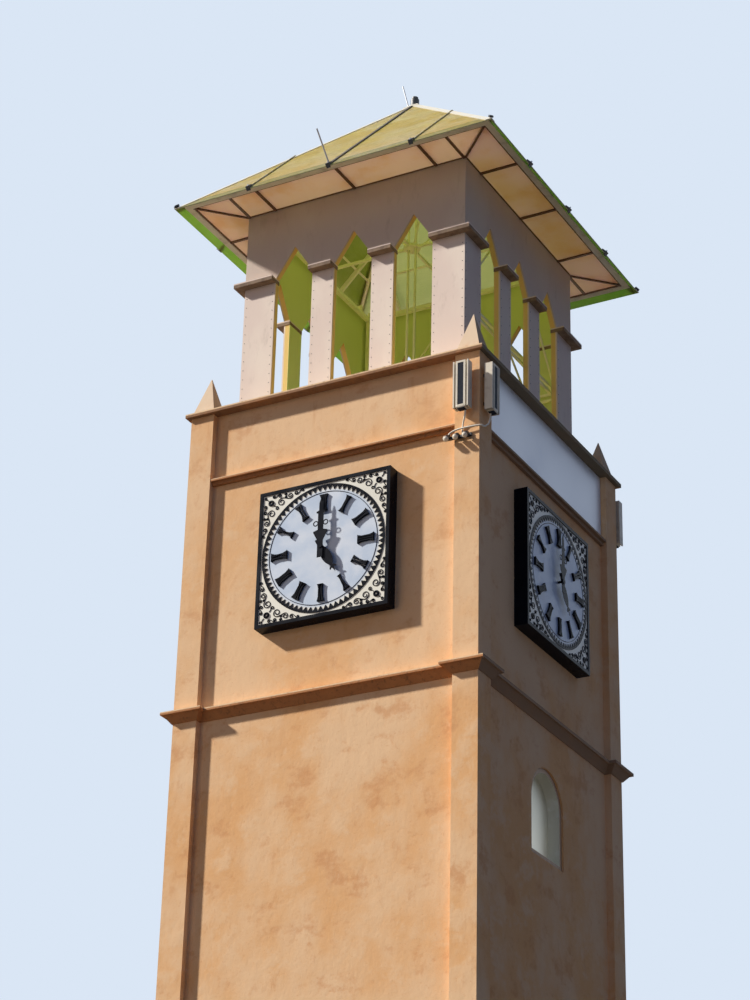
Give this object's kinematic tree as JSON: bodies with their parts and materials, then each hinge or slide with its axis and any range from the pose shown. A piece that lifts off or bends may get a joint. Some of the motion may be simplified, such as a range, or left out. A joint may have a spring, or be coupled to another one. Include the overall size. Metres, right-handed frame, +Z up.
{
  "type": "clock tower",
  "caption": "Square stuccoed clock tower with a dial on each face, an open belfry with pointed openings and a pyramid roof of translucent sheets.",
  "frame": {"origin": "middle of the footprint, on the ground", "axes": "+Z up, front along -Y, right side along +X"},
  "size_m": [4.742, 5.344, 22.7601],
  "materials": {
    "stucco": "trowelled, matte",
    "plinth_stone": "matte",
    "white_panel": "matte",
    "window_frame": "matte",
    "window_glass": "gloss",
    "cladding_boards": "matte",
    "batten_brown": "satin",
    "soffit_cream": "matte",
    "roof_sheet": "matte",
    "roof_trim": "satin",
    "clamp_dark": "satin",
    "steel_lime": "satin",
    "rod_metal": "satin",
    "beacon_black": "matte",
    "clock_black": "satin",
    "dial_face": "satin",
    "speaker_cream": "satin",
    "speaker_grille": "matte",
    "lead_white": "matte"
  },
  "bodies": {
    "tower": {"apex_cap": "roof_trim", "beacon": "beacon_black", "belfry_braces": "steel_lime", "belfry_corner_piers": "cladding_boards", "belfry_floor": "stucco", "belfry_posts": "steel_lime", "belfry_rails": "steel_lime", "belfry_slender_piers": "cladding_boards", "clock_cases": "clock_black", "clock_dials": "dial_face", "common_rafters": "steel_lime", "corner_columns": "stucco", "corner_pinnacles": "stucco", "eave_clamps": "clamp_dark", "eaves_joists": "steel_lime", "fascia": "soffit_cream", "frieze_panel": "white_panel", "head_wall_back": "cladding_boards", "head_wall_front": "cladding_boards", "head_wall_left": "cladding_boards", "head_wall_right": "cladding_boards", "hip_caps": "roof_trim", "hip_rafters": "steel_lime", "lightning_rods": "rod_metal", "mast_hubs": "steel_lime", "mast_pipes": "steel_lime", "mid_cornice": "stucco", "pier_caps": "cladding_boards", "plinth": "plinth_stone", "purlins": "steel_lime", "ring_beam": "steel_lime", "ring_ties": "steel_lime", "roof_ribs": "roof_trim", "roof_sheet_back": "roof_sheet", "roof_sheet_front": "roof_sheet", "roof_sheet_left": "roof_sheet", "roof_sheet_right": "roof_sheet", "roof_struts": "steel_lime", "shaft_wall_back": "stucco", "shaft_wall_front": "stucco", "shaft_wall_left": "stucco", "shaft_wall_right": "stucco", "soffit": "soffit_cream", "soffit_battens": "batten_brown", "speaker_bodies": "speaker_cream", "speaker_brackets": "clamp_dark", "speaker_grilles": "speaker_grille", "speaker_leads": "lead_white", "upper_strings": "stucco", "wall_lamps": "clamp_dark", "window_linings": "window_frame", "window_panes": "window_glass"},
    "minute_front": {"minute_hand_front": "clock_black"},
    "hour_front": {"hour_hand_front": "clock_black"},
    "minute_right": {"minute_hand_right": "clock_black"},
    "hour_right": {"hour_hand_right": "clock_black"},
    "minute_back": {"minute_hand_back": "clock_black"},
    "hour_back": {"hour_hand_back": "clock_black"},
    "minute_left": {"minute_hand_left": "clock_black"},
    "hour_left": {"hour_hand_left": "clock_black"}
  },
  "joints": [
    {"name": "minute_turn_front", "type": "hinge", "parent": "tower", "child": "minute_front", "pos_m": [0, -2.13, 14.595], "axis": [0, 1, 0], "continuous": true},
    {"name": "hour_turn_front", "type": "hinge", "parent": "tower", "child": "hour_front", "pos_m": [0, -2.13, 14.595], "axis": [0, 1, 0], "continuous": true},
    {"name": "minute_turn_right", "type": "hinge", "parent": "tower", "child": "minute_right", "pos_m": [2.13, 0, 14.595], "axis": [-1, 0, 0], "continuous": true},
    {"name": "hour_turn_right", "type": "hinge", "parent": "tower", "child": "hour_right", "pos_m": [2.13, 0, 14.595], "axis": [-1, 0, 0], "continuous": true},
    {"name": "minute_turn_back", "type": "hinge", "parent": "tower", "child": "minute_back", "pos_m": [0, 2.13, 14.595], "axis": [0, -1, 0], "continuous": true},
    {"name": "hour_turn_back", "type": "hinge", "parent": "tower", "child": "hour_back", "pos_m": [0, 2.13, 14.595], "axis": [0, -1, 0], "continuous": true},
    {"name": "minute_turn_left", "type": "hinge", "parent": "tower", "child": "minute_left", "pos_m": [-2.13, 0, 14.595], "axis": [1, 0, 0], "continuous": true},
    {"name": "hour_turn_left", "type": "hinge", "parent": "tower", "child": "hour_left", "pos_m": [-2.13, 0, 14.595], "axis": [1, 0, 0], "continuous": true}
  ],
  "couplings": [
    {"joint": "hour_turn_front", "follows": "minute_turn_front", "ratio": 0.083333},
    {"joint": "hour_turn_right", "follows": "minute_turn_right", "ratio": 0.083333},
    {"joint": "hour_turn_back", "follows": "minute_turn_back", "ratio": 0.083333},
    {"joint": "hour_turn_left", "follows": "minute_turn_left", "ratio": 0.083333}
  ]
}
